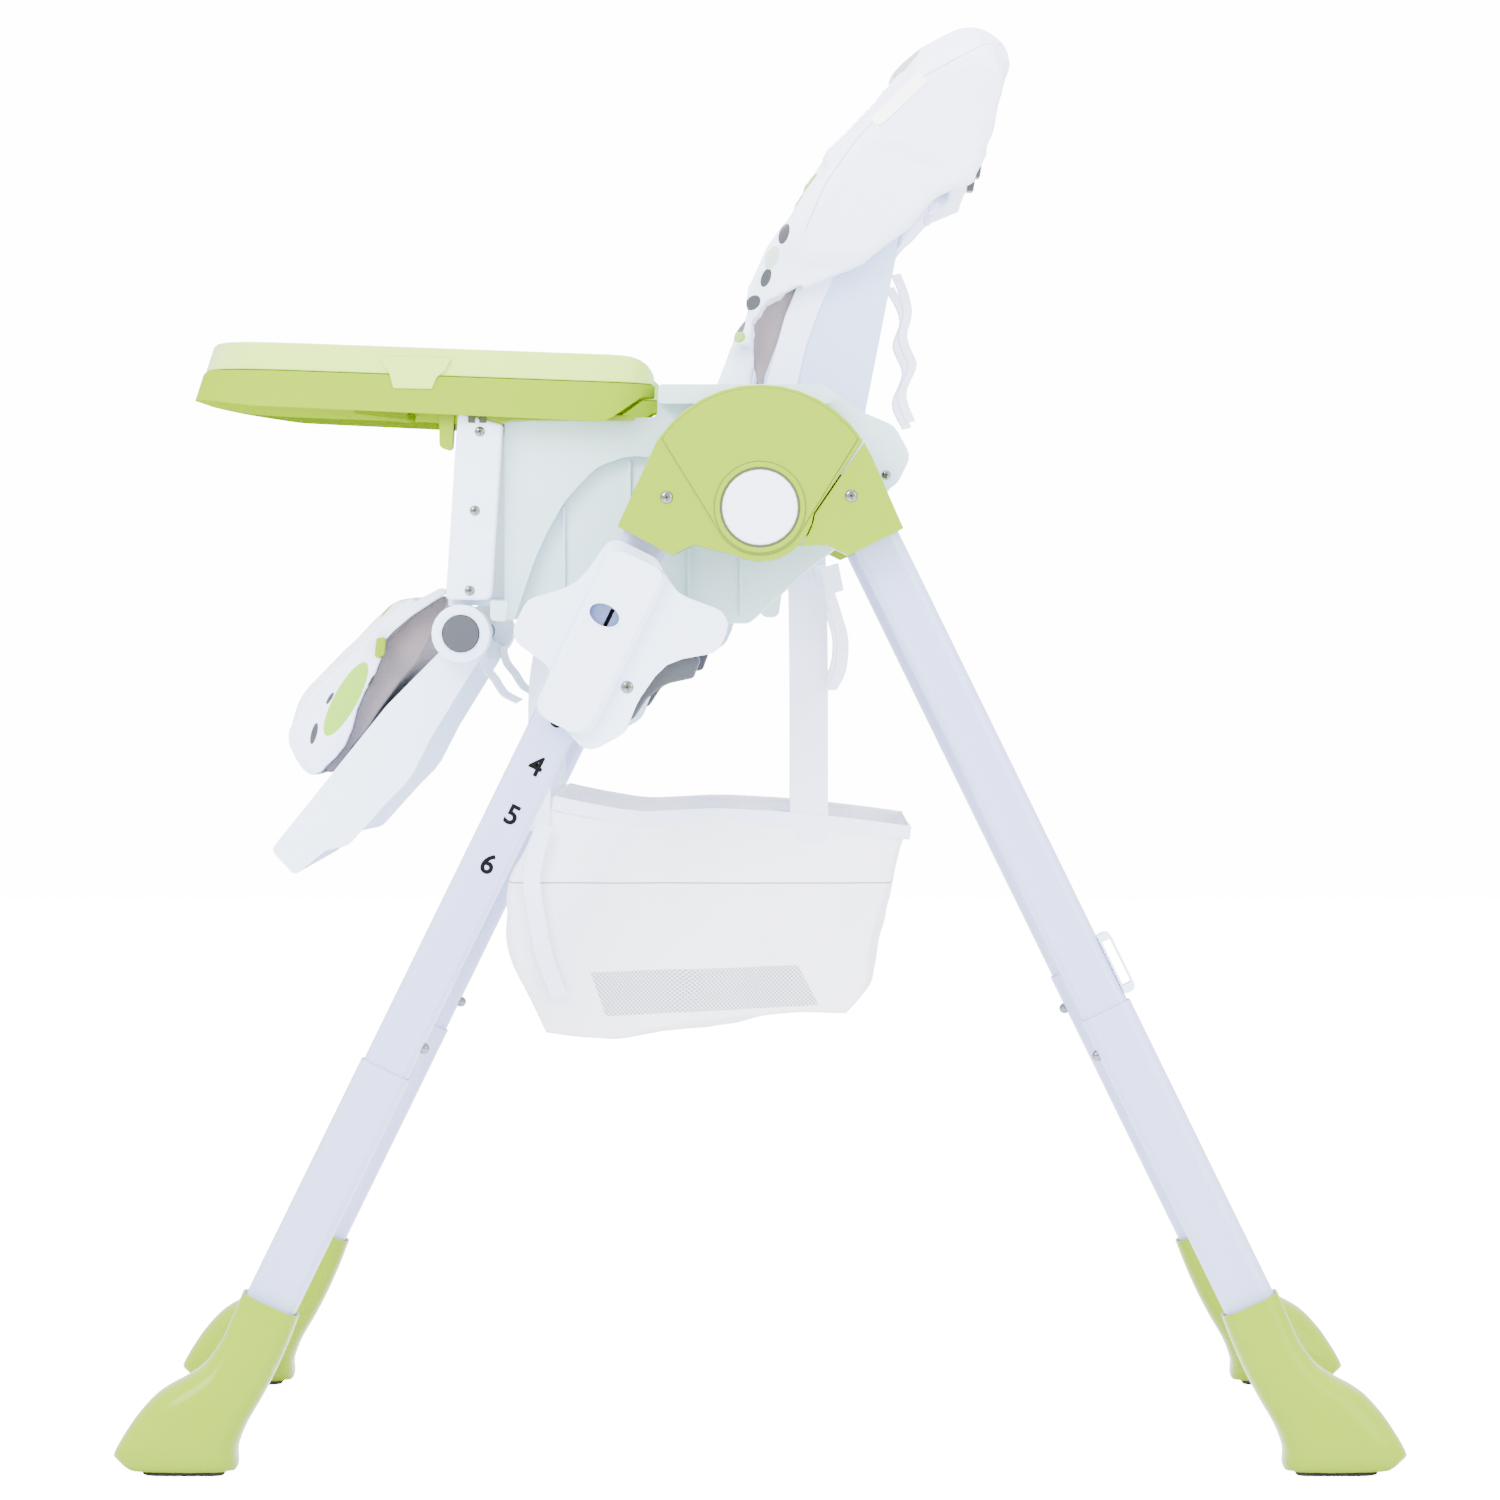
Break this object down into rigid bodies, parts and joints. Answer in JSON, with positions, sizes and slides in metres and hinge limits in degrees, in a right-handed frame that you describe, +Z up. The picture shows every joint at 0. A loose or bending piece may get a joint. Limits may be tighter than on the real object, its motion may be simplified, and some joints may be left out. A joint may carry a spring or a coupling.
{
  "type": "baby high chair",
  "caption": "Folding high chair with A-shaped tube legs, round fold hubs, sliding seat, reclining padded back, leg rest, storage basket and lift-off tray with insert.",
  "frame": {"origin": "floor point under the fold axis, in the middle of the chair", "axes": "+X to the back of the chair, +Y to the sitter's right, +Z up"},
  "size_m": [0.9132, 0.586, 1.0431],
  "materials": {
    "lime_plastic": "glossy moulded",
    "pale_insert": "translucent glossy moulded",
    "white_plastic": "satin moulded",
    "white_tube": "gloss powder coat",
    "grey_plastic": "satin",
    "steel_pin": "bright",
    "black_rubber": "matt",
    "print_fabric": "coated woven polyester",
    "mesh_fabric": "thin woven and mesh polyester"
  },
  "bodies": {
    "front_frame": {"front_upper_leg_left": "white_tube", "front_upper_leg_right": "white_tube", "front_lower_leg_left": "white_tube", "front_lower_leg_right": "white_tube", "front_crossbar": "white_tube", "front_foot_left": "lime_plastic", "front_foot_right": "lime_plastic", "front_foot_pad_left": "black_rubber", "front_foot_pad_right": "black_rubber", "hub_cover_left": "lime_plastic", "hub_cover_right": "lime_plastic", "hub_backplate_left": "lime_plastic", "hub_backplate_right": "lime_plastic", "hub_axle_left": "steel_pin", "hub_axle_right": "steel_pin"},
    "rear_frame": {"rear_upper_leg_left": "white_tube", "rear_upper_leg_right": "white_tube", "rear_lower_leg_left": "white_tube", "rear_lower_leg_right": "white_tube", "rear_crossbar": "white_tube", "rear_foot_left": "lime_plastic", "rear_foot_right": "lime_plastic", "rear_foot_pad_left": "black_rubber", "rear_foot_pad_right": "black_rubber", "rear_socket_left": "lime_plastic", "rear_socket_right": "lime_plastic", "tray_hook_left": "white_plastic", "tray_hook_right": "white_plastic"},
    "hub_button_left": {"hub_button_left": "white_plastic"},
    "hub_button_right": {"hub_button_right": "white_plastic"},
    "seat": {"slider_housing_left": "white_plastic", "slider_housing_right": "white_plastic", "side_panel_left": "white_plastic", "side_panel_right": "white_plastic", "front_post_left": "white_plastic", "front_post_right": "white_plastic", "tray_rail_left": "lime_plastic", "tray_rail_right": "lime_plastic", "seat_shell": "white_plastic", "footrest_axle": "steel_pin", "recline_axle": "steel_pin", "seat_cushion": "print_fabric", "harness_buckle": "grey_plastic", "basket": "mesh_fabric"},
    "slider_trigger_left": {"slider_trigger_left": "grey_plastic"},
    "slider_trigger_right": {"slider_trigger_right": "grey_plastic"},
    "backrest": {"backrest_shell": "white_plastic", "backrest_cover": "print_fabric", "back_pad": "print_fabric"},
    "recline_lever": {"recline_lever": "grey_plastic"},
    "footrest": {"footrest_board": "white_plastic", "calf_pad": "print_fabric"},
    "footrest_button_left": {"footrest_button_left": "grey_plastic"},
    "footrest_button_right": {"footrest_button_right": "grey_plastic"},
    "tray": {"tray_base": "lime_plastic"},
    "tray_insert": {"tray_insert": "pale_insert"},
    "tray_latch_left": {"tray_latch_left": "lime_plastic"},
    "tray_latch_right": {"tray_latch_right": "lime_plastic"}
  },
  "joints": [
    {"name": "leg_fold", "type": "hinge", "parent": "front_frame", "child": "rear_frame", "pos_m": [0, 0, 0.682], "axis": [0, 1, 0], "range_deg": [0, 50]},
    {"name": "height_slide", "type": "slide", "parent": "front_frame", "child": "seat", "axis": [-0.4399, 0, -0.898], "range_m": [0, 0.193]},
    {"name": "recline", "type": "hinge", "parent": "seat", "child": "backrest", "pos_m": [0.05, 0, 0.69], "axis": [0, 1, 0], "range_deg": [0, 30]},
    {"name": "footrest_tilt", "type": "hinge", "parent": "seat", "child": "footrest", "pos_m": [-0.214, 0, 0.593], "axis": [0, 1, 0], "range_deg": [-25, 45]},
    {"name": "tray_slide", "type": "slide", "parent": "seat", "child": "tray", "axis": [-0.9993, 0, 0.0366], "range_m": [0, 0.06]},
    {"name": "insert_lift", "type": "slide", "parent": "tray", "child": "tray_insert", "axis": [0.0366, 0, 0.9993], "range_m": [0, 0.1]},
    {"name": "recline_lever_pull", "type": "hinge", "parent": "backrest", "child": "recline_lever", "pos_m": [0.0815, 0, 0.827], "axis": [0, -1, 0], "range_deg": [0, 12], "stiffness_Nm_per_rad": 0.6, "springref_deg": -14.32},
    {"name": "hub_button_left_push", "type": "slide", "parent": "front_frame", "child": "hub_button_left", "axis": [0, 1, 0], "range_m": [0, 0.005], "stiffness_N_per_m": 600, "springref_m": -0.004},
    {"name": "trigger_left_pull", "type": "hinge", "parent": "seat", "child": "slider_trigger_left", "pos_m": [-0.09167, -0.25, 0.53761], "axis": [0, -1, 0], "range_deg": [0, 8], "stiffness_Nm_per_rad": 1.5, "springref_deg": -14.32},
    {"name": "footrest_button_left_push", "type": "slide", "parent": "footrest", "child": "footrest_button_left", "axis": [0, 1, 0], "range_m": [0, 0.003], "stiffness_N_per_m": 500, "springref_m": -0.003},
    {"name": "tray_latch_left_squeeze", "type": "hinge", "parent": "tray", "child": "tray_latch_left", "pos_m": [-0.224, -0.202, 0.748], "axis": [0, 1, 0], "range_deg": [0, 20], "stiffness_Nm_per_rad": 0.5, "springref_deg": -14.32},
    {"name": "hub_button_right_push", "type": "slide", "parent": "front_frame", "child": "hub_button_right", "axis": [0, -1, 0], "range_m": [0, 0.005], "stiffness_N_per_m": 600, "springref_m": -0.004},
    {"name": "trigger_right_pull", "type": "hinge", "parent": "seat", "child": "slider_trigger_right", "pos_m": [-0.09167, 0.25, 0.53761], "axis": [0, -1, 0], "range_deg": [0, 8], "stiffness_Nm_per_rad": 1.5, "springref_deg": -14.32},
    {"name": "footrest_button_right_push", "type": "slide", "parent": "footrest", "child": "footrest_button_right", "axis": [0, -1, 0], "range_m": [0, 0.003], "stiffness_N_per_m": 500, "springref_m": -0.003},
    {"name": "tray_latch_right_squeeze", "type": "hinge", "parent": "tray", "child": "tray_latch_right", "pos_m": [-0.224, 0.202, 0.748], "axis": [0, 1, 0], "range_deg": [0, 20], "stiffness_Nm_per_rad": 0.5, "springref_deg": -14.32}
  ]
}
